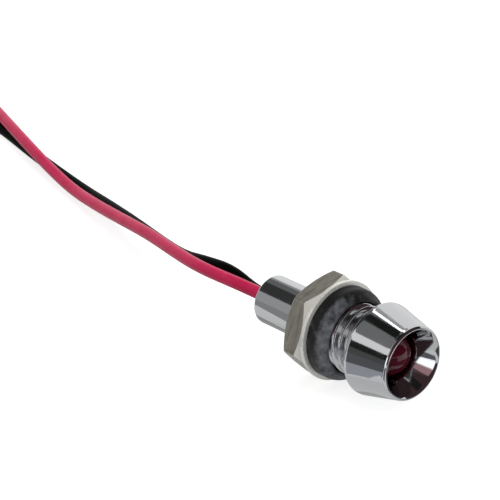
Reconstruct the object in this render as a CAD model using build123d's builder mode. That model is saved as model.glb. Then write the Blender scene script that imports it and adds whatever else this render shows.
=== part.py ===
from build123d import *
import math
import os

# Panel mount indicator light, 8 mm panel hole, with flying leads.
# Millimetres. The light's axis is the Y axis: the lens looks along -Y and the leads leave along +Y.
# The origin is on the axis, in the plane of the bezel's seat, where the front of the panel comes.
# The light lies on its side: a corner of the nut touches the surface under it.

# ---- driving dimensions -------------------------------------------------------------------------
thread_diameter = 8.0
thread_pitch = 1.0
thread_length = 10.4

bezel_diameter = 10.5
bezel_height = 5.2
bezel_front_diameter = 8.5
bezel_front_rounding = 0.5
bezel_land = 0.35
lip_diameter = 7.9
lip_width = 0.1
reflector_depth = 2.25
edge_break = 0.1

lens_diameter = 5.0
lens_length = 7.8
lens_recess = 1.4
flange_diameter = 5.8
flange_thickness = 1.0
flange_flat = 2.65
lens_clearance = 0.1
flange_clearance = 0.05

leg_size = 0.5
leg_pitch = 2.54
leg_free_length = 2.7
anvil_depth = 3.6
cup_diameter = 1.5
cup_rim = 0.15
cup_depth = 0.3
die_size = 0.3
die_height = 0.2

bush_thickness = 1.4
bush_clearance = 0.05

tube_clearance = 0.055
tube_wall = 0.55
tube_edge = 0.15
tube_end = 16.9
spigot_diameter = 5.94
spigot_length = 2.6
spigot_start = 7.4

resistor_diameter = 1.5
resistor_waist = 1.3
resistor_length = 3.2
resistor_reach = 1.7
resistor_wire = 0.45

lead_diameter = 1.5
lead_sides = 10
core_diameter = 0.56
lead_offset = 0.8
wiring_angle = 32.5
black_inner_end = 7.7
strip_length = 5.0
joint_length = 0.8
joint_gap = 0.04
solder_wall = 0.14

sleeve_wall = 0.12
sleeve_gap_by_lead = 0.095
sleeve_gap_by_solder = 0.255
potting_length = 2.1
potting_recess = 0.4
fit_clearance = 0.03

panel_gap = 3.4
seal_diameter = 10.5
seal_thickness = 2.45
seal_bevel = 0.95
seal_clearance = 0.12
seal_rounding = 0.5

washer_ring = 1.6
washer_thickness = 0.5
washer_clearance = 0.1
washer_teeth = 12
tooth_length = 0.75
tooth_gap = 0.8

nut_across_flats = 10.5
nut_thickness = 3.2
nut_chamfer_angle = 30
nut_face_share = 0.88
nut_clearance = 0.05
nut_angle = 15.3

coil_centre = (16.65, 114.24)
coil_entry_angle = -21
red_coil_diameter = 18.1
black_coil_diameter = 15.0
red_coil_sweep = 480
black_coil_sweep = 540
coil_first_layer = 311
coil_overhang = 62
layer_height = 1.53
tie_thickness = 0.26
tie_width = 1.6
tie_angle = 10
tie_clearance = 0.04
red_tail_reach = 20.0
black_tail_reach = 25.4

# ---- sizes that follow --------------------------------------------------------------------------
thread_radius = thread_diameter / 2
thread_depth = 0.6134 * thread_pitch
lead_radius = lead_diameter / 2
core_radius = core_diameter / 2
wire_radius = resistor_wire / 2

lens_tip = lens_recess - bezel_height
flange_rear = lens_tip + lens_length
flange_front = flange_rear - flange_thickness
leg_end = flange_rear + leg_free_length
anvil_top = flange_rear - anvil_depth - flange_thickness
flange_bore = flange_diameter + 2 * flange_clearance
lens_bore = lens_diameter + 2 * lens_clearance
spigot_bore = spigot_diameter + 2 * fit_clearance

seal_rear = panel_gap + seal_thickness
washer_rear = seal_rear + washer_thickness
nut_corner = nut_across_flats / math.sqrt(3)
lowest_corner = math.radians(60 * 4 + nut_angle)
floor = nut_corner * math.sin(lowest_corner)
lead_rest = floor + lead_radius
coil_rest = floor + tie_thickness + tie_clearance

# Planes for the wiring: across the axis, and along it through both legs of the lens.
turn = math.radians(wiring_angle)
across = Plane(origin=(0, 0, 0), x_dir=(math.cos(turn), 0, -math.sin(turn)), z_dir=(0, 1, 0))
along = Plane(origin=(0, 0, 0), x_dir=(math.cos(turn), 0, -math.sin(turn)), z_dir=(math.sin(turn), 0, math.cos(turn)))
profile = Plane.XY

leg_offset = leg_pitch / 2
resistor_start = leg_end + resistor_reach
resistor_end = resistor_start + resistor_length
red_inner_end = resistor_end + resistor_reach
resistor_offset = lead_offset + core_radius + wire_radius + joint_gap
wire_lap = leg_size / 2 + wire_radius + joint_gap
core_lap = leg_size / 2 + core_radius + joint_gap

# The rear tube's bore is what the red lead's shrunk sleeve needs beside the axis.
red_sleeve_offset = resistor_offset - edge_break
red_sleeve_bore = resistor_diameter / 2 + edge_break + fit_clearance
tube_bore = 2 * (red_sleeve_offset + red_sleeve_bore + sleeve_wall + tube_clearance)
tube_diameter = tube_bore + 2 * tube_wall

# The black lead's sleeve goes round the end of that lead and the cathode's bead of solder beside it.
sleeve_inner_side = lead_offset - lead_radius - sleeve_gap_by_lead
sleeve_outer_side = leg_offset + core_radius + solder_wall + sleeve_gap_by_solder
black_sleeve_offset = (sleeve_inner_side + sleeve_outer_side) / 2
black_sleeve_bore = (sleeve_outer_side - sleeve_inner_side) / 2

# ---- housing: bezel, reflector and threaded neck, turned in one piece ---------------------------
with BuildPart() as housing:
    lip_radius = lip_diameter / 2
    front_radius = bezel_front_diameter / 2
    round_share = math.sin(math.radians(45))
    with BuildSketch(profile):
        with BuildLine():
            Polyline(
                (lens_bore / 2, reflector_depth - bezel_height),
                (lip_radius - lip_width, -bezel_height),
                (lip_radius, -bezel_height),
                (
                    lip_radius + round_share * (front_radius - lip_radius),
                    (1 - round_share) * bezel_front_rounding - bezel_height,
                ),
                (front_radius, bezel_front_rounding - bezel_height),
                (bezel_diameter / 2, -bezel_land),
                (bezel_diameter / 2, -edge_break),
                (bezel_diameter / 2 - edge_break, 0),
                (thread_radius, 0),
                (thread_radius, thread_length - thread_depth),
                (thread_radius - thread_depth, thread_length),
                (spigot_bore / 2, thread_length),
                (spigot_bore / 2, spigot_start),
                (flange_bore / 2, spigot_start),
                (flange_bore / 2, flange_front),
                (lens_bore / 2, flange_front),
                close=True,
            )
        make_face()
    revolve(axis=Axis.Y)

# ---- rear tube: pressed into the threaded neck, carries the leads out ---------------------------
with BuildPart() as rear_tube:
    with BuildSketch(profile):
        with BuildLine():
            Polyline(
                (tube_bore / 2, spigot_start),
                (spigot_diameter / 2, spigot_start),
                (spigot_diameter / 2, spigot_start + spigot_length),
                (tube_diameter / 2, spigot_start + spigot_length),
                (tube_diameter / 2, tube_end - tube_edge),
                (tube_diameter / 2 - tube_edge / 3, tube_end - tube_edge / 3),
                (tube_diameter / 2 - tube_edge, tube_end),
                (tube_bore / 2 + tube_edge, tube_end),
                (tube_bore / 2, tube_end - tube_edge),
                close=True,
            )
        make_face()
    revolve(axis=Axis.Y)

# ---- inside the lens: two stamped posts and the light-emitting die ------------------------------
with BuildPart() as anode_post:
    inner = -leg_offset + leg_size / 2
    outer = -leg_offset - leg_size / 2
    with BuildSketch(along):
        with BuildLine():
            Polyline(
                (outer, leg_end),
                (outer, anvil_top),
                (inner + leg_size / 2, anvil_top),
                (inner, anvil_top + 2 * leg_size),
                (inner, leg_end),
                close=True,
            )
        make_face()
    extrude(amount=leg_size / 2, both=True)

with BuildPart() as cathode_post:
    cup_radius = cup_diameter / 2
    with BuildSketch(along):
        with BuildLine():
            Polyline(
                (leg_offset + leg_size / 2, leg_end),
                (leg_offset + leg_size / 2, anvil_top + leg_size),
                (0, anvil_top + leg_size),
                (0, anvil_top + 2 * leg_size - edge_break),
                (leg_offset - leg_size / 2, anvil_top + 5 * leg_size),
                (leg_offset - leg_size / 2, leg_end),
                close=True,
            )
        make_face()
    extrude(amount=leg_size / 2, both=True)
    with BuildSketch(across.offset(anvil_top)):
        Circle(cup_radius)
    extrude(amount=2 * leg_size)
    with BuildSketch(across.offset(anvil_top)):
        Circle(cup_radius - cup_rim)
    extrude(amount=cup_depth, taper=40, mode=Mode.SUBTRACT)

with BuildPart() as light_die:
    with BuildSketch(across.offset(anvil_top + cup_depth)):
        Rectangle(die_size, die_size)
    extrude(amount=-die_height)

# ---- lens: clear tinted epoxy, cast round the posts ---------------------------------------------
with BuildPart() as lens:
    dome_centre = lens_tip + lens_diameter / 2
    with BuildSketch(profile):
        with BuildLine():
            Polyline(
                (lens_diameter / 2, dome_centre),
                (lens_diameter / 2, flange_front),
                (flange_diameter / 2, flange_front),
                (flange_diameter / 2, flange_rear),
                (0, flange_rear),
                (0, lens_tip),
            )
            CenterArc((0, dome_centre), lens_diameter / 2, -90, 90)
        make_face()
    revolve(axis=Axis.Y)
    with BuildSketch(across.offset(flange_front)):
        with Locations((flange_flat + flange_diameter / 2, 0)):
            Rectangle(flange_diameter, 2 * flange_diameter)
    extrude(amount=flange_thickness, mode=Mode.SUBTRACT)
    add(anode_post.part, mode=Mode.SUBTRACT)
    add(cathode_post.part, mode=Mode.SUBTRACT)
    add(light_die.part, mode=Mode.SUBTRACT)

# ---- insulating bush: holds the flange against its shoulder and keeps the legs apart ------------
with BuildPart() as insulating_bush:
    with BuildSketch(across.offset(flange_rear)):
        Circle(flange_bore / 2 - bush_clearance)
        with Locations((-leg_offset, 0), (leg_offset, 0)):
            Rectangle(leg_size + 2 * fit_clearance, leg_size + 2 * fit_clearance, mode=Mode.SUBTRACT)
    extrude(amount=bush_thickness)

# ---- series resistor in the red lead ------------------------------------------------------------
with BuildPart() as resistor:
    cap = resistor_length / 4
    with BuildSketch(along):
        with BuildLine():
            Polyline(
                (-resistor_offset, resistor_start),
                (-resistor_offset + resistor_diameter / 2, resistor_start),
                (-resistor_offset + resistor_diameter / 2, resistor_start + cap),
                (-resistor_offset + resistor_waist / 2, resistor_start + cap + edge_break),
                (-resistor_offset + resistor_waist / 2, resistor_end - cap - edge_break),
                (-resistor_offset + resistor_diameter / 2, resistor_end - cap),
                (-resistor_offset + resistor_diameter / 2, resistor_end),
                (-resistor_offset, resistor_end),
                close=True,
            )
        make_face()
    revolve(axis=Axis(along.from_local_coords((-resistor_offset, 0, 0)), (0, 1, 0)))

with BuildPart() as resistor_front_wire:
    lap_start = leg_end - joint_length - 2 * edge_break
    with BuildLine(across) as wire_path:
        Polyline(
            (-leg_offset, -wire_lap, lap_start),
            (-leg_offset, -wire_lap, leg_end + edge_break),
            (-resistor_offset, 0, leg_end + leg_size + 2 * wire_radius),
            (-resistor_offset, 0, resistor_start),
        )
    with BuildSketch(across.offset(lap_start)):
        with Locations((-leg_offset, -wire_lap)):
            Circle(wire_radius)
    sweep(path=wire_path.line, transition=Transition.RIGHT)

with BuildPart() as resistor_rear_wire:
    with BuildSketch(across.offset(resistor_end)):
        with Locations((-resistor_offset, 0)):
            Circle(wire_radius)
    extrude(amount=red_inner_end - resistor_end - edge_break)

# ---- bared ends of the stranded cores, inside the light -----------------------------------------
with BuildPart() as red_core:
    with BuildSketch(across.offset(red_inner_end)):
        with Locations((-lead_offset, 0)):
            Circle(core_radius)
    extrude(amount=-joint_length - 4 * edge_break)

with BuildPart() as black_core:
    with BuildLine(across) as core_path:
        Polyline(
            (leg_offset, core_lap, lap_start),
            (leg_offset, core_lap, leg_end),
            (lead_offset, 0, black_inner_end - 2 * edge_break),
            (lead_offset, 0, black_inner_end),
        )
    with BuildSketch(across.offset(lap_start)):
        with Locations((leg_offset, core_lap)):
            Circle(core_radius)
    sweep(path=core_path.line, transition=Transition.RIGHT)


def solder_bead(start, centre, half_width, half_height, members):
    """A drawn-out bead of solder round the members that it joins, from start along the axis."""
    with BuildPart() as bead:
        with BuildSketch(across.offset(start)) as section:
            with Locations(centre):
                Rectangle(2 * half_width, 2 * half_height)
            chamfer(section.vertices(), 0.6 * min(half_width, half_height))
        extrude(amount=joint_length)
        for member in members:
            add(member.part, mode=Mode.SUBTRACT)
    return bead


solder_anode = solder_bead(
    leg_end - joint_length - edge_break,
    (-leg_offset, -wire_radius - joint_gap / 2),
    leg_size / 2 + solder_wall,
    leg_size / 2 + wire_radius + joint_gap / 2 + solder_wall,
    [anode_post, resistor_front_wire],
)
solder_cathode = solder_bead(
    leg_end - joint_length - edge_break,
    (leg_offset, core_radius + joint_gap / 2),
    core_radius + solder_wall,
    leg_size / 2 + core_radius + joint_gap / 2 + solder_wall,
    [cathode_post, black_core],
)
solder_resistor = solder_bead(
    red_inner_end - joint_length - 2 * edge_break,
    ((-lead_offset - resistor_offset) / 2, 0),
    core_radius + wire_radius + joint_gap / 2 + solder_wall,
    core_radius + solder_wall,
    [resistor_rear_wire, red_core],
)


def shrink_sleeve(start, end, centre, bore_radius):
    """A short heat-shrunk tube along the axis, from start to end."""
    with BuildPart() as sleeve:
        with BuildSketch(across.offset(start)):
            with Locations(centre):
                Circle(bore_radius + sleeve_wall)
                Circle(bore_radius, mode=Mode.SUBTRACT)
        extrude(amount=end - start)
    return sleeve


red_sleeve = shrink_sleeve(
    resistor_start - 2 * edge_break,
    red_inner_end - edge_break,
    (-red_sleeve_offset, 0),
    red_sleeve_bore,
)
black_sleeve = shrink_sleeve(
    lap_start - edge_break,
    black_inner_end + 4 * edge_break,
    (black_sleeve_offset, core_lap / 4),
    black_sleeve_bore,
)

# ---- potting: closes the rear tube round the leads ----------------------------------------------
with BuildPart() as potting:
    with BuildSketch(across.offset(tube_end - potting_recess)):
        Circle(tube_bore / 2 - fit_clearance)
        with Locations((-lead_offset, 0), (lead_offset, 0)):
            Circle(lead_radius + fit_clearance, mode=Mode.SUBTRACT)
    extrude(amount=-potting_length)

# ---- what fastens the light behind the panel ----------------------------------------------------
with BuildPart() as rubber_seal:
    seal_bore = thread_radius + seal_clearance
    with BuildSketch(profile) as seal_section:
        with BuildLine():
            Polyline(
                (seal_bore, panel_gap),
                (seal_bore + 3 * edge_break, panel_gap),
                (seal_diameter / 2, panel_gap + seal_bevel),
                (seal_diameter / 2, seal_rear - edge_break),
                (seal_diameter / 2 - edge_break, seal_rear),
                (seal_bore, seal_rear),
                close=True,
            )
        make_face()
        fillet(seal_section.vertices().group_by(Axis.X)[-1].sort_by(Axis.Y)[0], seal_rounding)
    revolve(axis=Axis.Y)

with BuildPart() as lock_washer:
    washer_bore = thread_radius + washer_clearance
    with BuildSketch(across.offset(seal_rear)):
        Circle(washer_bore + washer_ring)
        Circle(washer_bore, mode=Mode.SUBTRACT)
        with PolarLocations(washer_bore, washer_teeth):
            Rectangle(2 * tooth_length, tooth_gap, mode=Mode.SUBTRACT)
    extrude(amount=washer_thickness)

with BuildPart() as hex_nut:
    nut_rear = washer_rear + nut_thickness
    nut_bore = thread_radius + nut_clearance
    face_radius = nut_face_share * nut_across_flats / 2
    slope = math.tan(math.radians(nut_chamfer_angle)) * (nut_corner - face_radius)
    # The sketch plane's own X is +X and its Y is +Z turned over, so the angle is taken the other way.
    with BuildSketch(Plane(origin=(0, washer_rear, 0), x_dir=(1, 0, 0), z_dir=(0, 1, 0))):
        RegularPolygon(nut_corner, 6, rotation=-nut_angle)
        Circle(nut_bore, mode=Mode.SUBTRACT)
    extrude(amount=nut_thickness)
    with BuildSketch(profile):
        with BuildLine():
            Polyline(
                (nut_bore + 4 * edge_break, washer_rear),
                (face_radius, washer_rear),
                (nut_corner, washer_rear + slope),
                (nut_corner, nut_rear - slope),
                (face_radius, nut_rear),
                (nut_bore + 4 * edge_break, nut_rear),
                (nut_bore, nut_rear - 4 * edge_break),
                (nut_bore, washer_rear + 4 * edge_break),
                close=True,
            )
        make_face()
    revolve(axis=Axis.Y, mode=Mode.INTERSECT)

# ---- flying leads: free stretch, coil, end of the insulation and bared tip ----------------------


def arc_radii(route):
    """The radius of each bend: as large as its two runs allow."""
    points = [Vector(p) for p in route]
    radii = []
    for before, corner, after in zip(points, points[1:], points[2:]):
        first, second = corner - before, after - corner
        half_turn = math.radians(first.get_angle(second)) / 2
        radii.append(0.45 * min(first.length, second.length) / math.tan(half_turn))
    return radii


def lead_tube(name, route):
    """A lead along straight runs joined by tangent arcs, its round section drawn with a few sides."""
    radii = arc_radii(route)
    with BuildPart() as tube:
        with BuildLine() as path:
            FilletPolyline(*route, radius=radii)
        wire = path.wires()[0]
        with BuildSketch(Plane(origin=wire @ 0, z_dir=wire % 0)) as section:
            RegularPolygon(lead_radius, lead_sides)
        sweep(path=wire)
    ratio = tube.part.volume / (section.sketch.area * wire.length)
    print(name, f"length {wire.length:.1f}, volume ratio {ratio:.4f}, radii", [round(r, 1) for r in radii])
    return tube


def coil_point(diameter, angle, height):
    """A point on the coil's middle circle."""
    turn_to = math.radians(angle)
    return (
        coil_centre[0] + diameter / 2 * math.cos(turn_to),
        coil_centre[1] + diameter / 2 * math.sin(turn_to),
        height,
    )


def lead_coil(diameter, sweep_angle):
    """The outer shape of a wound lead: a first layer, and a second one lying on it."""
    second_start = coil_entry_angle - coil_overhang
    second_angle = sweep_angle - 360 + coil_overhang
    with BuildPart() as coil:
        for start, angle, base in (
            (coil_entry_angle, coil_first_layer, coil_rest),
            (second_start, second_angle, coil_rest + layer_height),
        ):
            turn_to = math.radians(start)
            section = Plane(
                origin=(coil_centre[0], coil_centre[1], base),
                x_dir=(math.cos(turn_to), math.sin(turn_to), 0),
                z_dir=(math.sin(turn_to), -math.cos(turn_to), 0),
            )
            with BuildSketch(section):
                with Locations((diameter / 2, layer_height / 2)):
                    Rectangle(lead_diameter, layer_height)
            revolve(axis=Axis((coil_centre[0], coil_centre[1], base), (0, 0, 1)), revolution_arc=angle)
    return coil


def tail_route(diameter, sweep_angle, reach):
    """From the top layer's end on over the outer coil, then down to the surface and along it."""
    angle = math.radians(coil_entry_angle + sweep_angle)
    start = Vector(coil_point(diameter, coil_entry_angle + sweep_angle, coil_rest + 1.5 * layer_height))
    ahead = Vector(-math.sin(angle), math.cos(angle), 0) * reach
    inward = Vector(-math.cos(angle), -math.sin(angle), 0) * reach
    drop = Vector(0, 0, lead_rest - start.Z)
    return [
        start,
        start + ahead * 0.27,
        start + ahead * 0.54 + inward * 0.02,
        start + ahead * 0.80 + inward * 0.06 + drop,
        start + ahead + inward * 0.11 + drop,
    ]


def bared_tip(route):
    """The twisted and tinned strands beyond the insulation."""
    with BuildPart() as tip:
        with BuildSketch(Plane(origin=route[-1], z_dir=route[-1] - route[-2])):
            Circle(core_radius)
        extrude(amount=strip_length)
    return tip


def inner_stretch(lead, start, offset):
    """The straight stretch inside the rear tube, one piece with the free lead."""
    with BuildPart() as whole:
        add(lead.part)
        with BuildSketch(across.offset(start)):
            with Locations((offset, 0)):
                Circle(lead_radius)
        extrude(amount=tube_end - start)
    return whole


coil_level = coil_rest + layer_height / 2
red_exit = across.from_local_coords((-lead_offset, 0, tube_end))
black_exit = across.from_local_coords((lead_offset, 0, tube_end))
red_route = [
    tuple(red_exit),
    (red_exit.X, 21.5, red_exit.Z),
    (-0.50, 28.8, 0.10),
    (1.30, 35.6, -0.60),
    (3.55, 42.9, -1.40),
    (5.75, 50.8, -2.60),
    (8.10, 58.9, -3.85),
    (10.30, 66.7, -4.70),
    (12.00, 73.9, -4.20),
    (14.05, 81.4, -3.55),
    (17.05, 90.2, -3.45),
    (20.30, 98.3, -3.95),
    (23.307, 106.329, -4.80),
    coil_point(red_coil_diameter, coil_entry_angle, coil_level),
]
black_route = [
    tuple(black_exit),
    (black_exit.X, 20.6, black_exit.Z),
    (1.15, 25.2, 0.45),
    (1.70, 30.6, -0.38),
    (2.66, 35.6, -1.62),
    (4.83, 42.6, -2.48),
    (7.28, 50.6, -3.22),
    (9.65, 58.5, -4.15),
    (11.85, 66.0, -5.11),
    (13.25, 73.4, -5.11),
    (14.95, 81.5, -5.11),
    (17.20, 90.6, -5.11),
    (18.75, 98.8, -5.08),
    (21.860, 106.884, -4.80),
    coil_point(black_coil_diameter, coil_entry_angle, coil_level),
]
red_tail_route = tail_route(red_coil_diameter, red_coil_sweep, red_tail_reach)
black_tail_route = tail_route(black_coil_diameter, black_coil_sweep, black_tail_reach)

red_lead = inner_stretch(lead_tube("red_lead", red_route), red_inner_end, -lead_offset)
black_lead = inner_stretch(lead_tube("black_lead", black_route), black_inner_end, lead_offset)
red_coil = lead_coil(red_coil_diameter, red_coil_sweep)
black_coil = lead_coil(black_coil_diameter, black_coil_sweep)
red_tail = lead_tube("red_tail", red_tail_route)
black_tail = lead_tube("black_tail", black_tail_route)
red_tip = bared_tip(red_tail_route)
black_tip = bared_tip(black_tail_route)

# ---- tie: a narrow band round both coils --------------------------------------------------------
with BuildPart() as coil_tie:
    turn_to = math.radians(tie_angle)
    middle = (red_coil_diameter + black_coil_diameter) / 4
    band_width = (red_coil_diameter - black_coil_diameter) / 2 + lead_diameter + 4 * tie_clearance
    band_height = 2 * (layer_height + tie_clearance)
    tie_plane = Plane(
        origin=(*coil_centre, coil_rest + layer_height),
        x_dir=(math.cos(turn_to), math.sin(turn_to), 0),
        z_dir=(math.sin(turn_to), -math.cos(turn_to), 0),
    )
    with BuildSketch(tie_plane):
        with Locations((middle, 0)):
            Rectangle(band_width + 2 * tie_thickness, band_height + 2 * tie_thickness)
            Rectangle(band_width, band_height, mode=Mode.SUBTRACT)
    extrude(amount=tie_width / 2, both=True)

# ---- files --------------------------------------------------------------------------------------
pieces = {
    "housing": housing,
    "rear_tube": rear_tube,
    "lens": lens,
    "anode_post": anode_post,
    "cathode_post": cathode_post,
    "light_die": light_die,
    "insulating_bush": insulating_bush,
    "resistor": resistor,
    "resistor_front_wire": resistor_front_wire,
    "resistor_rear_wire": resistor_rear_wire,
    "red_core": red_core,
    "black_core": black_core,
    "solder_anode": solder_anode,
    "solder_cathode": solder_cathode,
    "solder_resistor": solder_resistor,
    "red_sleeve": red_sleeve,
    "black_sleeve": black_sleeve,
    "potting": potting,
    "rubber_seal": rubber_seal,
    "lock_washer": lock_washer,
    "hex_nut": hex_nut,
    "red_lead": red_lead,
    "black_lead": black_lead,
    "red_coil": red_coil,
    "black_coil": black_coil,
    "red_tail": red_tail,
    "black_tail": black_tail,
    "red_tip": red_tip,
    "black_tip": black_tip,
    "coil_tie": coil_tie,
}
os.makedirs("parts", exist_ok=True)
for name, piece in pieces.items():
    piece.part.label = name
    export_step(piece.part, f"parts/{name}.step")
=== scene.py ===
import math

import bpy
import numpy as np
from mathutils import Matrix, Vector


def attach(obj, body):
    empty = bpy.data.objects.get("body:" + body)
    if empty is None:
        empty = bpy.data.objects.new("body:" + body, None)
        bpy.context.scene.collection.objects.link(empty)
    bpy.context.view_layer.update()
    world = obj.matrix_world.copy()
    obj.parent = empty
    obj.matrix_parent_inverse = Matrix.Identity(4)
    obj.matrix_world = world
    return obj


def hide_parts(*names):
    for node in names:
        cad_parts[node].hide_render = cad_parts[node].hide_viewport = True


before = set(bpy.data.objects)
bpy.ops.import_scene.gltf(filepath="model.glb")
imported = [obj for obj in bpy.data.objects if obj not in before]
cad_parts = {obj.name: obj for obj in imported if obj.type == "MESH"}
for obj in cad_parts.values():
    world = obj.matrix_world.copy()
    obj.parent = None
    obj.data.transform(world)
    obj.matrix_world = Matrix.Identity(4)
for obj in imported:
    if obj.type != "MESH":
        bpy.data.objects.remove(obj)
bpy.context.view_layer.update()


# ---- Camera -------------------------------------------------------------------------------------
# A long lens, a quarter of a metre off, looks down on the light from its front left.
def direction(azimuth, elevation):
    """A unit vector out from the light, with azimuth 0 in front of it and 90 at its right."""
    azimuth, elevation = math.radians(azimuth), math.radians(elevation)
    level = math.cos(elevation)
    return Vector((math.sin(azimuth) * level, -math.cos(azimuth) * level, math.sin(elevation)))


MM = 0.001
CAMERA_AZIMUTH, CAMERA_ELEVATION, CAMERA_DISTANCE = -41.79, 23.61, 259.25
AIM_ALONG, AIM_LEFT, AIM_ABOVE = 3.3, 11.607, 9.565
toward = direction(CAMERA_AZIMUTH, CAMERA_ELEVATION)
rightward = direction(CAMERA_AZIMUTH + 90, 0)
upward = toward.cross(rightward)
aim = Vector((0, AIM_ALONG, 0)) - AIM_LEFT * rightward + AIM_ABOVE * upward
camera = bpy.data.objects.new("camera", bpy.data.cameras.new("camera"))
camera.data.sensor_width = 36
camera.data.lens = 172.7
camera.data.clip_start, camera.data.clip_end = 0.01, 10
turned_to = Matrix((rightward, upward, toward)).transposed().to_4x4()
camera.matrix_world = Matrix.Translation((aim + CAMERA_DISTANCE * toward) * MM) @ turned_to
bpy.context.collection.objects.link(camera)
bpy.context.scene.camera = camera
bpy.context.scene.view_settings.view_transform = "Standard"


# ---- Leads --------------------------------------------------------------------------------------
# Two single leads of stranded copper in extruded PVC, red and black, 1.5 mm over the insulation.
# They leave the rear tube side by side, sink to the table, cross once, and end in a tied coil.
def linear(hex_colour):
    """An sRGB colour written as #rrggbb, as linear red, green, blue and alpha."""
    value = np.array([int(hex_colour[i:i + 2], 16) for i in (1, 3, 5)]) / 255
    return (*np.where(value <= 0.04045, value / 12.92, ((value + 0.055) / 1.055) ** 2.4).tolist(), 1.0)


def add(tree, kind, links=(), **settings):
    """One node: settings are properties or sockets by name, links are (socket, output) pairs."""
    node = tree.nodes.new("ShaderNode" + kind)
    for key, value in settings.items():
        socket = node.inputs.get(key.replace("_", " ")) or node.inputs.get(key.replace("_", " ").title())
        if socket is not None and not hasattr(node, key):
            socket.default_value = value
        else:
            setattr(node, key, value)
    for key, output in links:
        tree.links.new(output, node.inputs[key])
    return node


def finish_of(name):
    """A material's name gives a new material, its node tree and its Principled shader."""
    material = bpy.data.materials.new(name)
    material.use_nodes = True
    return material, material.node_tree, material.node_tree.nodes["Principled BSDF"]


def pvc(name, body, rubbed, gloss):
    """Extruded PVC insulation: one colour, a little paler in places, a soft gloss and a fine grain."""
    material, tree, shader = finish_of(name)
    place = add(tree, "TexCoord").outputs["Object"]
    # Handling leaves the skin a little paler over stretches of 2 or 3 mm.
    mottle = add(tree, "TexNoise", [("Vector", place)], Scale=400, Detail=3).outputs["Fac"]
    colour = add(tree, "ValToRGB", [("Fac", mottle)])
    colour.color_ramp.elements[0].position, colour.color_ramp.elements[1].position = 0.35, 0.75
    colour.color_ramp.elements[0].color = linear(body)
    colour.color_ramp.elements[1].color = linear(rubbed)
    # The die leaves a grain of about 0.1 mm.
    grain = add(tree, "TexNoise", [("Vector", place)], Scale=9000, Detail=2).outputs["Fac"]
    bump = add(tree, "Bump", [("Height", grain)], Strength=0.25, Distance=0.00002).outputs["Normal"]
    tree.links.new(colour.outputs["Color"], shader.inputs["Base Color"])
    tree.links.new(bump, shader.inputs["Normal"])
    shader.inputs["Roughness"].default_value = 0.34
    shader.inputs["Specular IOR Level"].default_value = gloss
    return material


LEAD_DIAMETER, LEAD_INSET = 1.5, 0.005
TABLE = -5.864
TIE_THICKNESS, TIE_SLACK = 0.26, 0.04
COIL_CENTRE = np.array([16.65, 114.24])
LAYER_HEIGHT = 1.53
FIRST_LAYER = TABLE + TIE_THICKNESS + TIE_SLACK + LAYER_HEIGHT / 2
RED_COIL, BLACK_COIL = 18.1, 15.0
FIRST_CORNER, CORNER_STEP, RISE_START, RISE_END = -6, 30, 225, 290


def coil_turns(diameter, corners):
    """Corners of a twelve-sided ring outside the coil's middle circle, which the spline touches half
    way between two of them. The turn starts low and rises to the second layer on its way round."""
    angle = FIRST_CORNER + CORNER_STEP * np.arange(corners)
    corner = diameter / 2 / math.cos(math.radians(CORNER_STEP / 2))
    rise = np.clip((angle - RISE_START) / (RISE_END - RISE_START), 0, 1)
    height = FIRST_LAYER + LAYER_HEIGHT * (3 * rise ** 2 - 2 * rise ** 3)
    around = np.stack([np.cos(np.radians(angle)), np.sin(np.radians(angle))], 1)
    return np.column_stack([COIL_CENTRE + corner * around, height])


def loose_end(diameter, angle, reach):
    """From the coil straight on, over its outer turn, then down to the table with a slight curl."""
    angle = math.radians(angle)
    out = np.array([math.cos(angle), math.sin(angle), 0])
    ahead = np.array([-math.sin(angle), math.cos(angle), 0])
    start = np.array([*COIL_CENTRE, FIRST_LAYER + LAYER_HEIGHT]) + out * diameter / 2
    drop = np.array([0, 0, TABLE + LEAD_DIAMETER / 2 - start[2]])
    # Each step is a share of the reach ahead, a share of it inwards, and 1 where it is on the table.
    steps = (0.27, 0, 0), (0.54, 0.02, 0), (0.80, 0.06, 1), (1, 0.11, 1)
    return np.stack([start + ahead * reach * far - out * reach * curl + drop * down
                     for far, curl, down in steps])


def lead(name, points, material):
    """One smooth spline with the route's points as its control points, round in section."""
    curve = bpy.data.curves.new(name, "CURVE")
    curve.dimensions = "3D"
    curve.bevel_depth = (LEAD_DIAMETER / 2 - LEAD_INSET) * MM
    curve.bevel_resolution = 5
    curve.resolution_u = 10
    curve.use_fill_caps = True
    spline = curve.splines.new("NURBS")
    spline.points.add(len(points) - 1)
    spline.points.foreach_set("co", np.column_stack([points * MM, np.ones(len(points))]).ravel())
    spline.order_u = 3
    spline.use_endpoint_u = True
    curve.materials.append(material)
    piece = bpy.data.objects.new(name, curve)
    bpy.context.collection.objects.link(piece)
    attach(piece, "root")
    return piece


red_route = np.array([
    (-0.675, 13.35, 0.430),
    (-0.675, 16.9, 0.430),
    (-0.675, 21.5, 0.430),
    (-0.50, 28.8, 0.10),
    (1.30, 35.6, -0.60),
    (3.55, 42.9, -1.40),
    (5.75, 50.8, -2.60),
    (8.10, 58.9, -3.85),
    (10.30, 66.7, -4.70),
    (12.00, 73.9, -4.20),
    (14.05, 81.4, -3.55),
    (17.05, 90.2, -3.45),
    (20.30, 98.3, -3.95),
    (23.307, 106.329, -4.80),
])
black_route = np.array([
    (0.675, 7.75, -0.430),
    (0.675, 16.9, -0.430),
    (0.675, 20.6, -0.430),
    (1.15, 25.2, 0.45),
    (1.70, 30.6, -0.38),
    (2.66, 35.6, -1.62),
    (4.83, 42.6, -2.48),
    (7.28, 50.6, -3.22),
    (9.65, 58.5, -4.15),
    (11.85, 66.0, -5.11),
    (13.25, 73.4, -5.11),
    (14.95, 81.5, -5.11),
    (17.20, 90.6, -5.11),
    (18.75, 98.8, -5.08),
    (21.860, 106.884, -4.80),
])
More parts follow.
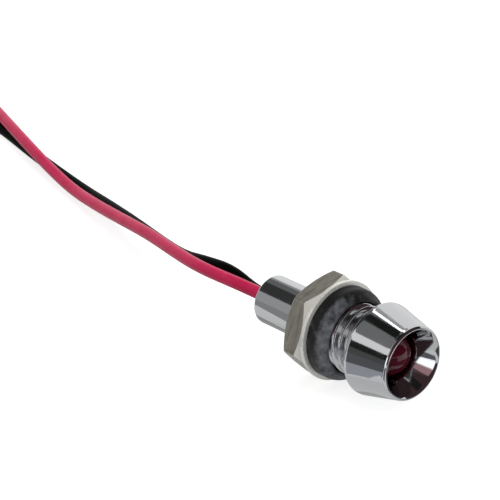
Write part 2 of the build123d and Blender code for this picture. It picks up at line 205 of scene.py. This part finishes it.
red_route = np.vstack([
    red_route, coil_turns(RED_COIL, corners=16), loose_end(RED_COIL, angle=459, reach=20.0),
])
black_route = np.vstack([
    black_route, coil_turns(BLACK_COIL, corners=18), loose_end(BLACK_COIL, angle=519, reach=25.4),
])
# The red is even and soft; the black soaks up nearly all light and hardly shines.
red_pvc = pvc("red_extruded_pvc", "#cc1e52", "#d83060", 0.14)
black_pvc = pvc("black_extruded_pvc", "#040404", "#0a0a0a", 0.012)
red_insulation = lead("red_insulation", red_route, red_pvc)
black_insulation = lead("black_insulation", black_route, black_pvc)
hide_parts("red_lead", "red_coil", "red_tail")
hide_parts("black_lead", "black_coil", "black_tail")

# ---- Bared ends of the leads --------------------------------------------------------------------
# Seven tinned copper strands, twisted and dipped in solder, so the lay of the strands shows softly.
def skin(name, grid, loop=False, sharp=35):
    """A closed surface through rows and columns of points, in mm. Columns run round the piece. With
    loop the last row meets the first; otherwise each end closes on its middle point."""
    rows, columns = grid.shape[:2]
    here = np.arange(rows if loop else rows - 1)[:, None] * columns
    there = (np.arange(1, len(here) + 1) % rows)[:, None] * columns
    column, after = np.arange(columns), (np.arange(columns) + 1) % columns
    quads = np.stack([here + column, here + after, there + after, there + column], -1).reshape(-1, 4)
    faces, points = quads.tolist(), grid.reshape(-1, 3)
    if not loop:
        points = np.vstack([points, grid[0].mean(0), grid[-1].mean(0)])
        last = (rows - 1) * columns
        first_cap, last_cap = np.full(columns, rows * columns), np.full(columns, rows * columns + 1)
        faces += np.stack([first_cap, after, column], -1).tolist()
        faces += np.stack([last_cap, last + column, last + after], -1).tolist()
    # Six times the enclosed volume is positive when the faces look outwards.
    a, b, c, d = (points[quads[:, i]] - points.mean(0) for i in range(4))
    volume = np.einsum("ij,ij->", a, np.cross(b, c)) + np.einsum("ij,ij->", a, np.cross(c, d))
    if volume < 0:
        faces = [face[::-1] for face in faces]
    mesh = bpy.data.meshes.new(name)
    mesh.from_pydata((points * MM).tolist(), [], faces)
    mesh.polygons.foreach_set("use_smooth", np.ones(len(faces), bool))
    mesh.set_sharp_from_angle(angle=math.radians(sharp))
    return mesh


def piece_of(mesh, material, node):
    """The finished piece in its place, standing for its solid."""
    piece = bpy.data.objects.new(mesh.name, mesh)
    mesh.materials.append(material)
    bpy.context.collection.objects.link(piece)
    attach(piece, "root")
    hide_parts(node)
    return piece


tinned, tree, shader = finish_of("tinned_copper_strands")
place = add(tree, "TexCoord").outputs["Object"]
dip = add(tree, "TexNoise", [("Vector", place)], Scale=2500, Detail=3).outputs["Fac"]
rough = add(tree, "MapRange", [("Value", dip)], To_Min=0.22, To_Max=0.42)
tree.links.new(rough.outputs["Result"], shader.inputs["Roughness"])
shader.inputs["Base Color"].default_value = linear("#cfcfce")
shader.inputs["Metallic"].default_value = 1.0
STRANDS, BARED_LENGTH, BARED_RADIUS, STRAND_LAY, STRAND_GROOVE = 7, 5, 0.28, 4, 0.05


def strands(name, start, ahead, node):
    """A round bundle with a groove between each two strands, twisted, and rounded at its tip."""
    ahead = ahead / np.linalg.norm(ahead)
    beside = np.cross([0, 0, 1], ahead)
    above = np.cross(ahead, beside)
    angle = np.linspace(0, 2 * math.pi, 12 * STRANDS, endpoint=False)
    along = np.linspace(0, BARED_LENGTH, 60)[:, None]
    lay = STRANDS * (angle - along * 2 * math.pi / STRAND_LAY) / 2
    radius = BARED_RADIUS - STRAND_GROOVE * (1 - np.abs(np.cos(lay))) ** 1.5
    radius = radius * np.clip((BARED_LENGTH + 0.04 - along) / 0.12, 0, 1) ** 0.4
    around = np.cos(angle)[:, None] * beside + np.sin(angle)[:, None] * above
    grid = start + along[..., None] * ahead + radius[..., None] * around
    return piece_of(skin(name, grid, sharp=60), tinned, node)


red_end = strands("red_strands", red_route[-1], red_route[-1] - red_route[-2], "red_tip")
black_end = strands("black_strands", black_route[-1], black_route[-1] - black_route[-2], "black_tip")

# ---- Coil tie -----------------------------------------------------------------------------------
# A narrow nylon band, wrapped once round both coils at their right side and welded to itself.
TIE_TURN, TIE_HALF_WIDTH, TIE_CORNERS = math.radians(10), 0.8, 2 / 9
out = np.array([math.cos(TIE_TURN), math.sin(TIE_TURN), 0])
across = np.array([math.sin(TIE_TURN), -math.cos(TIE_TURN), 0])
both_coils = (RED_COIL - BLACK_COIL) / 2 + LEAD_DIAMETER
half_wide, half_high = both_coils / 2 + 2 * TIE_SLACK, LAYER_HEIGHT + TIE_SLACK
# The loop is a circle pressed out towards its corners, until it is nearly a rectangle.
loop_angle = np.linspace(0, 2 * math.pi, 96, endpoint=False)
round_out = np.sign(np.cos(loop_angle)) * np.abs(np.cos(loop_angle)) ** TIE_CORNERS
round_up = np.sign(np.sin(loop_angle)) * np.abs(np.sin(loop_angle)) ** TIE_CORNERS
band = np.array([
    (0.02, -TIE_HALF_WIDTH), (TIE_THICKNESS, -TIE_HALF_WIDTH + 0.06),
    (TIE_THICKNESS, TIE_HALF_WIDTH - 0.06), (0.02, TIE_HALF_WIDTH),
])
tie_middle = np.array([*COIL_CENTRE, FIRST_LAYER + LAYER_HEIGHT / 2]) + out * (RED_COIL + BLACK_COIL) / 4
thick, wide = band[:, :1], band[:, 1:]
tie_grid = (
    tie_middle
    + ((half_wide + thick) * round_out)[..., None] * out
    + ((half_high + thick) * round_up)[..., None] * np.array([0, 0, 1])
    + (wide + 0 * loop_angle)[..., None] * across
)
nylon, tree, shader = finish_of("natural_nylon")
place = add(tree, "TexCoord").outputs["Object"]
haze = add(tree, "TexNoise", [("Vector", place)], Scale=1200, Detail=2).outputs["Fac"]
tone = add(tree, "ValToRGB", [("Fac", haze)])
tone.color_ramp.elements[0].color = linear("#d6d4cb")
tone.color_ramp.elements[1].color = linear("#e6e5df")
tree.links.new(tone.outputs["Color"], shader.inputs["Base Color"])
shader.inputs["Roughness"].default_value = 0.4
shader.inputs["Subsurface Weight"].default_value = 0.15
shader.inputs["Subsurface Scale"].default_value = 0.0005
tie = piece_of(skin("nylon_band", tie_grid, loop=True), nylon, "coil_tie")

# ---- Bezel, reflector and threaded neck ---------------------------------------------------------
# One turned brass body, plated with bright chrome: a conical bezel with a thin lip, a reflector cone
# down to the lens, and a neck with an M8 x 1 thread that runs out just behind the bezel's seat.
def broken_edges(corners, steps=5):
    """A profile with its corners turned round: each corner is (radius, length, rounding)."""
    corner = np.array([c[:2] for c in corners], float)
    out = []
    for i, (point, (_, _, rounding)) in enumerate(zip(corner, corners)):
        before, after = corner[i - 1] - point, corner[(i + 1) % len(corner)] - point
        if rounding == 0:
            out.append(point[None])
            continue
        before, after = before / np.linalg.norm(before), after / np.linalg.norm(after)
        t = np.linspace(0, 1, steps)[:, None]
        start, end = point + before * rounding, point + after * rounding
        out.append((1 - t) ** 2 * start + 2 * t * (1 - t) * point + t ** 2 * end)
    return np.vstack(out)


def turned(profile, columns=160):
    """Turns a profile of (radius, length) about the Y axis."""
    angle = np.linspace(0, 2 * math.pi, columns, endpoint=False)
    radius, length = profile[:, :1], profile[:, 1:]
    return np.stack([radius * np.cos(angle), length + 0 * angle, radius * np.sin(angle)], -1)


THREAD_RADIUS, THREAD_PITCH, THREAD_DEPTH, THREAD_END = 4.0, 1.0, 0.6134, 10.4
CREST_LENGTH, CREST_ANGLE = 3.27, math.radians(147)
THREAD_START, RUN_OUT = 0.1, 0.6
SHOWN_THREAD = 3.6


def neck_radius(length, angle):
    """The thread's height at each place: crests and roots rounded by the plate, right-handed, faded in
    behind the seat and chamfered at the end."""
    phase = (length - CREST_LENGTH) / THREAD_PITCH + (angle - CREST_ANGLE) / (2 * math.pi)
    off_crest = 2 * np.abs(phase - np.round(phase))
    depth = THREAD_DEPTH * (1 - np.cos(math.pi * off_crest)) / 2
    depth = depth * np.clip((length - THREAD_START) / RUN_OUT, 0, 1)
    end = np.clip(length - (THREAD_END - THREAD_DEPTH), 0, THREAD_DEPTH)
    return np.minimum(THREAD_RADIUS - depth, THREAD_RADIUS - end)


front = broken_edges([
    (2.6, 3.0, 0.0), (2.6, -2.95, 0.05), (3.70, -4.93, 0.12), (3.90, -5.2, 0.04), (3.97, -5.2, 0.02),
    (4.06, -5.17, 0.03), (4.21, -4.98, 0.10), (4.27, -4.62, 0.10), (5.25, -0.35, 0.12), (5.25, 0, 0.06),
    (4.0, 0, 0.0),
])
rear = broken_edges([
    (3.2, THREAD_END, 0.0), (3.0, THREAD_END, 0.05), (3.0, 7.4, 0.0), (2.95, 7.4, 0.0), (2.95, 3.0, 0.0),
])
angle = np.linspace(0, 2 * math.pi, 160, endpoint=False)
# Forty rows go to a turn where the thread shows, and fewer under the seal, the washer and the nut.
shown = np.arange(0.08, SHOWN_THREAD, THREAD_PITCH / 40)
length = np.concatenate([shown, np.linspace(SHOWN_THREAD, THREAD_END, 90)])[:, None] + 0 * angle
radius = neck_radius(length, angle)
neck = np.stack([radius * np.cos(angle), length, radius * np.sin(angle)], -1)
body_grid = np.vstack([turned(front), neck, turned(rear)])

# Bright chrome over turned brass. It mirrors the room, and only faint rings from the lathe and a
# breath of wiping marks break the mirror.
chrome, tree, shader = finish_of("bright_chrome_on_turned_brass")
place = add(tree, "TexCoord").outputs["Object"]
along = add(tree, "SeparateXYZ", [("Vector", place)]).outputs["Y"]
rings = add(tree, "TexNoise", [("W", along)], noise_dimensions="1D", Scale=14000, Detail=2).outputs["Fac"]
wiped = add(tree, "TexNoise", [("Vector", place)], Scale=500, Detail=4, Distortion=0.6).outputs["Fac"]
rough = add(tree, "MapRange", [("Value", wiped)], From_Min=0.35, From_Max=0.75, To_Min=0.055, To_Max=0.11)
# The thread was not polished before plating: from the seat to the neck's end it is less of a mirror.
behind_seat = add(tree, "MapRange", [("Value", along)], From_Min=0.0002, From_Max=0.0007, To_Max=0.06)
before_end = add(tree, "MapRange", [("Value", along)], From_Min=0.0096, From_Max=0.0094)
ends = [(0, behind_seat.outputs["Result"]), (1, before_end.outputs["Result"])]
dull = add(tree, "Math", ends, operation="MULTIPLY").outputs["Value"]
rough = add(tree, "Math", [(0, rough.outputs["Result"]), (1, dull)], operation="ADD").outputs["Value"]
bump = add(tree, "Bump", [("Height", rings)], Strength=0.05, Distance=0.00001).outputs["Normal"]
tree.links.new(rough, shader.inputs["Roughness"])
tree.links.new(bump, shader.inputs["Normal"])
shader.inputs["Base Color"].default_value = linear("#c4c6c8")
shader.inputs["Metallic"].default_value = 1.0
piece_of(skin("bezel_and_neck", body_grid, loop=True), chrome, "housing")

# ---- Rear tube ----------------------------------------------------------------------------------
# A slim brass tube pressed into the neck from behind and chromed like the bezel. Its end is rounded
# inside and out, so that it doesn't cut the leads.
tube_profile = broken_edges([
    (2.3, 7.4, 0.05), (2.97, 7.4, 0.1), (2.97, 10.0, 0.03), (2.85, 10.0, 0.03),
    (2.85, 16.9, 0.16), (2.3, 16.9, 0.16),
])
piece_of(skin("rear_sleeve", turned(tube_profile), loop=True), chrome, "rear_tube")

# ---- Lens ---------------------------------------------------------------------------------------
# The 5 mm lens: dyed epoxy, cast in a polished mould with a dome in front, a thin flange behind and
# one flat on the flange beside the cathode. Unlit, it is a dark wine red with wet highlights.
LENS_RADIUS, LENS_TIP, FLANGE_RADIUS, FLAT_REACH = 2.5, -3.8, 2.9, 2.65
WIRING_ANGLE = math.radians(-32.5)
arc = np.linspace(0.02, math.pi / 2, 28)
dome = np.column_stack([LENS_RADIUS * np.sin(arc), LENS_TIP + LENS_RADIUS * (1 - np.cos(arc))])
wall = np.array([
    (LENS_RADIUS, 0.0), (LENS_RADIUS, 2.92), (2.53, 2.98), (2.6, 3.0), (FLANGE_RADIUS - 0.04, 3.0),
    (FLANGE_RADIUS, 3.05), (FLANGE_RADIUS, 3.95), (FLANGE_RADIUS - 0.04, 4.0), (0.05, 4.0),
])
lens_grid = turned(np.vstack([dome, wall]), 96)
around = np.arctan2(lens_grid[..., 2], lens_grid[..., 0]) - WIRING_ANGLE
reach = np.hypot(lens_grid[..., 0], lens_grid[..., 2])
toward_flat = reach * np.cos(around)
beside_flat = (np.cos(around) > 0.5) & (lens_grid[..., 1] > 2.99) & (reach > 2.55)
flat = np.where(beside_flat, np.minimum(1, FLAT_REACH / np.maximum(toward_flat, 0.01)), 1)
lens_grid[..., 0] *= flat
lens_grid[..., 2] *= flat
epoxy, tree, shader = finish_of("dyed_cast_epoxy")
place = add(tree, "TexCoord").outputs["Object"]
# The casting shrinks a little unevenly, which gives a slow ripple 1 mm across.
ripple = add(tree, "TexNoise", [("Vector", place)], Scale=900, Detail=1).outputs["Fac"]
bump = add(tree, "Bump", [("Height", ripple)], Strength=0.12, Distance=0.00004).outputs["Normal"]
tree.links.new(bump, shader.inputs["Normal"])
shader.inputs["Base Color"].default_value = linear("#640f26")
shader.inputs["Transmission Weight"].default_value = 0.3
shader.inputs["Roughness"].default_value = 0.03
shader.inputs["IOR"].default_value = 1.54
piece_of(skin("lens_body", lens_grid, sharp=50), epoxy, "lens")

# ---- Sealing washer -----------------------------------------------------------------------------
# A moulded black rubber washer. Its bevelled front beds on the back of the panel, and it is a little
# matt, with the mould's fine grain.
seal_profile = broken_edges([
    (4.12, 3.4, 0.08), (4.42, 3.4, 0.14), (5.25, 4.35, 0.42), (5.25, 5.85, 0.14), (4.12, 5.85, 0.0),
], 9)
rubber, tree, shader = finish_of("moulded_black_rubber")
place = add(tree, "TexCoord").outputs["Object"]
grain = add(tree, "TexNoise", [("Vector", place)], Scale=7000, Detail=4, Roughness=0.6).outputs["Fac"]
# A painted sheen lightens the bevel in spots half a millimetre across; the rubber itself is black.
sheen_noise = add(tree, "TexNoise", [("Vector", place)], Scale=1100, Detail=4, Roughness=0.55).outputs["Fac"]
along = add(tree, "SeparateXYZ", [("Vector", place)]).outputs["Y"]
bevel_sheen_mask = add(tree, "MapRange", [("Value", along)], From_Min=0.0047, From_Max=0.0041, To_Min=0.45)
thick = [(0, sheen_noise), (1, bevel_sheen_mask.outputs["Result"])]
painted_sheen = add(tree, "Math", thick, operation="MULTIPLY").outputs["Value"]
# The painted sheen is brightest on the light's left side.
across = add(tree, "SeparateXYZ", [("Vector", place)]).outputs["X"]
side = add(tree, "MapRange", [("Value", across)], From_Min=0.0, From_Max=-0.0042, To_Min=0.5, To_Max=1.1)
thick = [(0, painted_sheen), (1, side.outputs["Result"])]
painted_sheen = add(tree, "Math", thick, operation="MULTIPLY").outputs["Value"]
# The ramp's light end is the painted sheen's colour, its dark end the rubber's own.
tone = add(tree, "ValToRGB", [("Fac", painted_sheen)])
tone.color_ramp.elements[0].position, tone.color_ramp.elements[1].position = 0.25, 0.85
tone.color_ramp.elements[0].color = linear("#161618")
tone.color_ramp.elements[1].color = linear("#8e9198")
bump = add(tree, "Bump", [("Height", grain)], Strength=0.35, Distance=0.00003).outputs["Normal"]
tree.links.new(tone.outputs["Color"], shader.inputs["Base Color"])
tree.links.new(bump, shader.inputs["Normal"])
shader.inputs["Roughness"].default_value = 0.5
shader.inputs["Specular IOR Level"].default_value = 0.3
piece_of(skin("sealing_ring", turned(seal_profile), loop=True), rubber, "rubber_seal")

# ---- Lock washer --------------------------------------------------------------------------------
# A thin spring steel washer with twelve square teeth inside, stamped and bright zinc plated. Its
# stamped edges are slightly rounded.
WASHER_OUTER, WASHER_BORE = 5.7, 4.1
TEETH, TOOTH_LENGTH, HALF_GAP, GAP_RADIUS = 12, 0.75, 0.4, 4.45
section = broken_edges([(0, 5.85, 0.04), (1, 5.85, 0.08), (1, 6.35, 0.08), (0, 6.35, 0.04)])
columns = 60 * TEETH
angle = np.linspace(0, 2 * math.pi, columns, endpoint=False)
tooth = (angle - WIRING_ANGLE) * TEETH / (2 * math.pi)
gap = np.abs(tooth - np.round(tooth)) * 2 * math.pi / TEETH * GAP_RADIUS < HALF_GAP
inner = np.where(gap, WASHER_BORE + TOOTH_LENGTH, WASHER_BORE)
share = section[:, :1]
radius = inner + share * (WASHER_OUTER - inner)
washer_grid = np.stack([radius * np.cos(angle), section[:, 1:] + 0 * angle, radius * np.sin(angle)], -1)
zinc, tree, shader = finish_of("bright_zinc_plate")
place = add(tree, "TexCoord").outputs["Object"]
cloud = add(tree, "TexNoise", [("Vector", place)], Scale=1500, Detail=4).outputs["Fac"]
rough = add(tree, "MapRange", [("Value", cloud)], To_Min=0.18, To_Max=0.34)
tree.links.new(rough.outputs["Result"], shader.inputs["Roughness"])
shader.inputs["Base Color"].default_value = linear("#f0f0ea")
shader.inputs["Metallic"].default_value = 0.3
piece_of(skin("toothed_washer", washer_grid, loop=True), zinc, "lock_washer")

# ---- Nut ----------------------------------------------------------------------------------------
# A hexagon nut, 10.5 mm across the flats, turned and milled from brass and satin nickel plated. Both
# faces are chamfered at 30 degrees, which leaves a curved edge on each flat.
NUT_FRONT, NUT_REAR, NUT_FLATS, NUT_TURN = 6.35, 9.55, 10.5, math.radians(15.3 + 30)
NUT_BORE, LEAD_IN, FACE_RADIUS, CHAMFER_SLOPE = 4.05, 0.4, 4.62, 1.732
CORNER_POWER, EDGE_SHARPNESS = 80, 30
angle = np.linspace(0, 2 * math.pi, 360, endpoint=False)
toward_flat = np.cos(angle[None] - NUT_TURN - np.arange(6)[:, None] * math.pi / 3)
hexagon = NUT_FLATS / 2 / (np.clip(toward_flat, 0, 1) ** CORNER_POWER).sum(0) ** (1 / CORNER_POWER)
inward = np.concatenate([np.linspace(0, 0.96, 36), np.linspace(1.04, 1.6, 5)])
deep = np.concatenate([NUT_FRONT + inward, (NUT_REAR - inward)[::-1][1:]])[:, None]
chamfer = FACE_RADIUS + CHAMFER_SLOPE * np.minimum(deep - NUT_FRONT, NUT_REAR - deep)
# The side is the smaller of the two radii, with a soft change from one to the other.
side = np.exp(-EDGE_SHARPNESS * hexagon) + np.exp(-EDGE_SHARPNESS * chamfer)
side = -np.log(side) / EDGE_SHARPNESS
bore = np.array([
    (FACE_RADIUS - 0.02, NUT_REAR), (NUT_BORE + LEAD_IN, NUT_REAR), (NUT_BORE, NUT_REAR - LEAD_IN),
    (NUT_BORE, NUT_FRONT + LEAD_IN), (NUT_BORE + LEAD_IN, NUT_FRONT), (FACE_RADIUS - 0.02, NUT_FRONT),
])
outside = np.stack([side * np.cos(angle), deep + 0 * angle, side * np.sin(angle)], -1)
nut_grid = np.vstack([outside, turned(bore, 360)])
nickel, tree, shader = finish_of("satin_nickel_on_milled_brass")
place = add(tree, "TexCoord").outputs["Object"]
# The cutter's lines run across each flat, about 0.2 mm apart, and the plate is greyer along them.
stretched = add(tree, "Mapping", [("Vector", place)], Scale=(500, 4500, 500)).outputs["Vector"]
milled = add(tree, "TexNoise", [("Vector", stretched)], Scale=1.0, Detail=4, Roughness=0.6).outputs["Fac"]
tone = add(tree, "ValToRGB", [("Fac", milled)])
tone.color_ramp.elements[0].position, tone.color_ramp.elements[1].position = 0.26, 0.74
tone.color_ramp.elements[0].color = linear("#78746a")
tone.color_ramp.elements[1].color = linear("#b2aea3")
rough = add(tree, "MapRange", [("Value", milled)], To_Min=0.28, To_Max=0.42)
bump = add(tree, "Bump", [("Height", milled)], Strength=0.5, Distance=0.00002).outputs["Normal"]
# The turned faces and chamfers are painted near white and made less metallic than the milled flats, a
# painted highlight where they catch the light.
facing = add(tree, "SeparateXYZ", [("Vector", add(tree, "TexCoord").outputs["Normal"])]).outputs["Y"]
facing = add(tree, "Math", [(0, facing)], operation="ABSOLUTE").outputs["Value"]
turned_face_highlight = add(tree, "MapRange", [("Value", facing)], From_Min=0.3, From_Max=0.6).outputs["Result"]
# Mix has a set of sockets for each kind of data under the same names, so its colours go by number.
blend = add(tree, "Mix", data_type="RGBA")
tree.links.new(turned_face_highlight, blend.inputs[0])
tree.links.new(tone.outputs["Color"], blend.inputs[6])
# This near white is the colour of the painted highlight on the turned faces and chamfers.
blend.inputs[7].default_value = linear("#f4f2ea")
tree.links.new(blend.outputs[2], shader.inputs["Base Color"])
satin = add(tree, "MapRange", [("Value", turned_face_highlight)], To_Min=0.65, To_Max=0.2).outputs["Result"]
tree.links.new(satin, shader.inputs["Metallic"])
tree.links.new(rough.outputs["Result"], shader.inputs["Roughness"])
tree.links.new(bump, shader.inputs["Normal"])
piece_of(skin("hexagon_nut", nut_grid, loop=True, sharp=22), nickel, "hex_nut")

# ---- Inside the light ---------------------------------------------------------------------------
# What the closed light hides keeps its solids: posts and die in the lens, the bush behind it, the
# resistor and the soldered joints under their shrunk sleeves, and the potting round the leads.
def dressed(material, *nodes):
    """Gives a finish to solids whose shape is right already."""
    for node in nodes:
        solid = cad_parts[node]
        solid.data.materials.clear()
        solid.data.materials.append(material)


def plain_finish(name, dark, light, grain_mm, roughness, metallic=0.0, depth=0.00001):
    """A moulded, plated or cured skin: two near tones, and a grain of the size given."""
    material, tree, shader = finish_of(name)
    place = add(tree, "TexCoord").outputs["Object"]
    grain = add(tree, "TexNoise", [("Vector", place)], Scale=1 / (grain_mm * MM), Detail=3).outputs["Fac"]
    tone = add(tree, "ValToRGB", [("Fac", grain)])
    tone.color_ramp.elements[0].color = linear(dark)
    tone.color_ramp.elements[1].color = linear(light)
    bump = add(tree, "Bump", [("Height", grain)], Strength=0.3, Distance=depth).outputs["Normal"]
    tree.links.new(tone.outputs["Color"], shader.inputs["Base Color"])
    tree.links.new(bump, shader.inputs["Normal"])
    shader.inputs["Roughness"].default_value = roughness
    shader.inputs["Metallic"].default_value = metallic
    return material


dressed(plain_finish("tin_plated_steel", "#bdbdbb", "#d0d0ce", 0.3, 0.3, 1.0),
        "anode_post", "cathode_post", "resistor_front_wire", "resistor_rear_wire")
dressed(plain_finish("sawn_die", "#4c4a50", "#6a6870", 0.1, 0.35), "light_die")
dressed(plain_finish("moulded_nylon", "#d8d5c6", "#e4e2d6", 0.4, 0.5), "insulating_bush")
dressed(plain_finish("shrunk_polyolefin", "#131314", "#1d1d1e", 0.25, 0.6), "red_sleeve", "black_sleeve")
dressed(plain_finish("cured_black_epoxy", "#0f0f10", "#1a1a1b", 0.5, 0.3, depth=0.00004), "potting")
dressed(plain_finish("soft_solder", "#b9bbbd", "#d2d4d5", 0.35, 0.25, 1.0, 0.00003),
        "solder_anode", "solder_cathode", "solder_resistor")
dressed(tinned, "red_core", "black_core")

# The resistor's lacquer is tan, with four painted rings 0.35 mm wide.
lacquer, tree, shader = finish_of("baked_lacquer_with_rings")
place = add(tree, "TexCoord").outputs["Object"]
along = add(tree, "SeparateXYZ", [("Vector", place)]).outputs["Y"]
spot = add(tree, "MapRange", [("Value", along)], From_Min=0.0084, From_Max=0.0116).outputs["Result"]
TAN, YELLOW, VIOLET, BROWN, GOLD = "#c9ac78", "#d8b52a", "#6b3fa0", "#5a3218", "#b8923f"
rings = add(tree, "ValToRGB", [("Fac", spot)])
rings.color_ramp.interpolation = "CONSTANT"
rings.color_ramp.elements[0].color = linear(TAN)
rings.color_ramp.elements[1].position = 0.14
rings.color_ramp.elements[1].color = linear(YELLOW)
for position, colour in ((0.25, TAN), (0.36, VIOLET), (0.47, TAN), (0.54, BROWN), (0.65, TAN),
                         (0.78, GOLD), (0.89, TAN)):
    rings.color_ramp.elements.new(position).color = linear(colour)
tree.links.new(rings.outputs["Color"], shader.inputs["Base Color"])
shader.inputs["Roughness"].default_value = 0.3
dressed(lacquer, "resistor")


# ---- Table, tent and lamps ----------------------------------------------------------------------
# The light lies on a white table in a white tent. Dark flags hang in the tent, out of the camera's
# sight, and give the chrome its black bands.
def emitting(name, colour, strength):
    """A card that gives off an even light of its own."""
    material, tree, shader = finish_of(name)
    tree.nodes.remove(shader)
    glow = add(tree, "Emission", Color=linear(colour), Strength=strength)
    tree.links.new(glow.outputs["Emission"], tree.nodes["Material Output"].inputs["Surface"])
    return material


TENT_RADIUS, ABOVE_TABLE = 0.5, 0.2


def card(name, turns, heights, brightness, lying=False, tint="#ffffff"):
    """A curved card on the tent, seen from the light between two azimuths and two elevations, or one
    lying on the table between two azimuths and two distances in mm. It shows only in what mirrors it."""
    turn, height = np.meshgrid(np.radians(np.linspace(*turns, 73)), np.linspace(*heights, 7))
    if lying:
        out, up = height * MM, 0 * height + (TABLE + ABOVE_TABLE) * MM
    else:
        out, up = TENT_RADIUS * np.cos(np.radians(height)), TENT_RADIUS * np.sin(np.radians(height))
    points = np.stack([out * np.sin(turn), -out * np.cos(turn), up], -1)
    index = np.arange(turn.size).reshape(turn.shape)
    faces = np.stack([index[:-1, :-1], index[:-1, 1:], index[1:, 1:], index[1:, :-1]], -1).reshape(-1, 4)
    mesh = bpy.data.meshes.new(name)
    mesh.from_pydata(points.reshape(-1, 3).tolist(), [], faces.tolist())
    mesh.materials.append(emitting(name, tint, brightness))
    piece = bpy.data.objects.new(name, mesh)
    piece.visible_camera = piece.visible_diffuse = piece.visible_shadow = False
    piece.visible_transmission = False
    bpy.context.collection.objects.link(piece)


# Standing cards are placed by azimuths and elevations, lying ones by azimuths and distances.
WINE_CLOTH, COLD_PAPER = "#ffc8cf", "#f4f6ff"
card("upper_grey", (128, 138), (50, 70), 0.45)
card("strip_light", (138, 147), (52, 70), 2.8)
card("rear_grey", (140, 151), (25, 46), 0.38)
card("overhead_grey", (147, 172), (46, 70), 0.19)
card("overhead_low", (151, 172), (29, 46), 0.17)
card("overhead_flag", (172, 219), (26, 70), 0.05)
card("ceiling_flag", (-180, 180), (70, 90), 0.015)
card("rear_flag", (219, 255), (42.5, 70), 0.22)
card("rear_screen", (205, 234), (-1, 26), 0.44)
card("side_flag", (239, 263), (12, 26), 0.02)
card("side_screen", (239, 263), (-1, 12), 0.09)
card("low_flag", (244, 272), (20, 500), 0.13, lying=True, tint=COLD_PAPER)
card("low_grey", (250, 275), (9, 20), 0.45, lying=True, tint=COLD_PAPER)
card("low_screen", (204, 234), (18, 500), 0.33, lying=True)
card("low_shade", (164, 188), (15, 30), 0.36, lying=True)
card("left_grey", (270, 300), (23, 44), 0.45, tint=WINE_CLOTH)
card("left_flag", (263, 300), (44, 70), 0.12, tint=WINE_CLOTH)
card("front_flag", (-60, 75), (-1, 70), 0.06, tint=WINE_CLOTH)
card("right_flag", (75, 105), (28, 70), 0.03)
card("left_window", (276, 300), (-1, 20), 1.8)
card("low_window", (276, 300), (60, 500), 1.6, lying=True, tint=COLD_PAPER)
card("left_mat", (284, 308), (11, 60), 0.15, lying=True, tint=COLD_PAPER)
card("front_mat", (2, 60), (8.5, 16), 0.10, lying=True)
card("front_low", (-35, 2), (8.5, 90), 0.08, lying=True)
card("low_glow", (-180, 180), (3.1, 8), 0.68, lying=True)
card("low_dim", (-180, 180), (0, 3.1), 0.44, lying=True)

TABLE_REACH = 3
square = (-1, -1), (1, -1), (1, 1), (-1, 1)
corners = [(x * TABLE_REACH, y * TABLE_REACH, TABLE * MM) for x, y in square]
floor_mesh = bpy.data.meshes.new("table")
floor_mesh.from_pydata(corners, [], [(0, 1, 2, 3)])
table = bpy.data.objects.new("table", floor_mesh)
bpy.context.collection.objects.link(table)
matt_white, tree, shader = finish_of("matt_white_table")
shader.inputs["Base Color"].default_value = (0.55, 0.55, 0.55, 1)
shader.inputs["Roughness"].default_value = 0.9
# Beside the light that falls on it, the table shows an even white, and less of it in mirrors.
seen = add(tree, "LightPath")
through = [(0, seen.outputs["Is Glossy Ray"]), (1, seen.outputs["Is Transmission Ray"])]
mirrored = add(tree, "Math", through, operation="MAXIMUM")
shown = add(tree, "Math", [(0, mirrored.outputs[0]), (2, seen.outputs["Is Camera Ray"])],
            operation="MULTIPLY_ADD")
shown.inputs[1].default_value = 0.45
strength = add(tree, "MapRange", [("Value", shown.outputs[0])], To_Max=0.78)
glow = add(tree, "Emission", [("Strength", strength.outputs["Result"])], Color=(1, 1, 1, 1))
both = add(tree, "AddShader", [(0, shader.outputs["BSDF"]), (1, glow.outputs["Emission"])])
tree.links.new(both.outputs["Shader"], tree.nodes["Material Output"].inputs["Surface"])
floor_mesh.materials.append(matt_white)

# The tent is brighter where it is seen or mirrored than where it only lights the pieces.
world = bpy.data.worlds.new("tent")
world.use_nodes = True
bpy.context.scene.world = world
tree = world.node_tree
sky = tree.nodes["Background"]
sky.inputs["Color"].default_value = (1, 1, 1, 1)
rays = add(tree, "LightPath")
direct = add(tree, "Math", [(0, rays.outputs["Is Camera Ray"]), (1, rays.outputs["Is Glossy Ray"])],
             operation="MAXIMUM")
direct = add(tree, "Math", [(0, direct.outputs[0]), (1, rays.outputs["Is Transmission Ray"])],
             operation="MAXIMUM")
strength = add(tree, "MapRange", [("Value", direct.outputs[0])], To_Min=0.6, To_Max=1.0)
tree.links.new(strength.outputs["Result"], sky.inputs["Strength"])

# One square soft lamp hangs nearly overhead, a little to the light's right, and faces it.
LAMP_DISTANCE, LAMP_WIDTH, LAMP_POWER = 0.4, 0.3, 0.55
away = direction(60, 80)
lamp = bpy.data.lights.new("overhead", "AREA")
lamp.shape, lamp.size, lamp.size_y, lamp.energy = "RECTANGLE", LAMP_WIDTH, LAMP_WIDTH, LAMP_POWER
box = bpy.data.objects.new("overhead", lamp)
box.location = away * LAMP_DISTANCE
box.rotation_mode = "QUATERNION"
box.rotation_quaternion = away.to_track_quat("Z", "Y")
box.visible_glossy = box.visible_transmission = False
bpy.context.collection.objects.link(box)
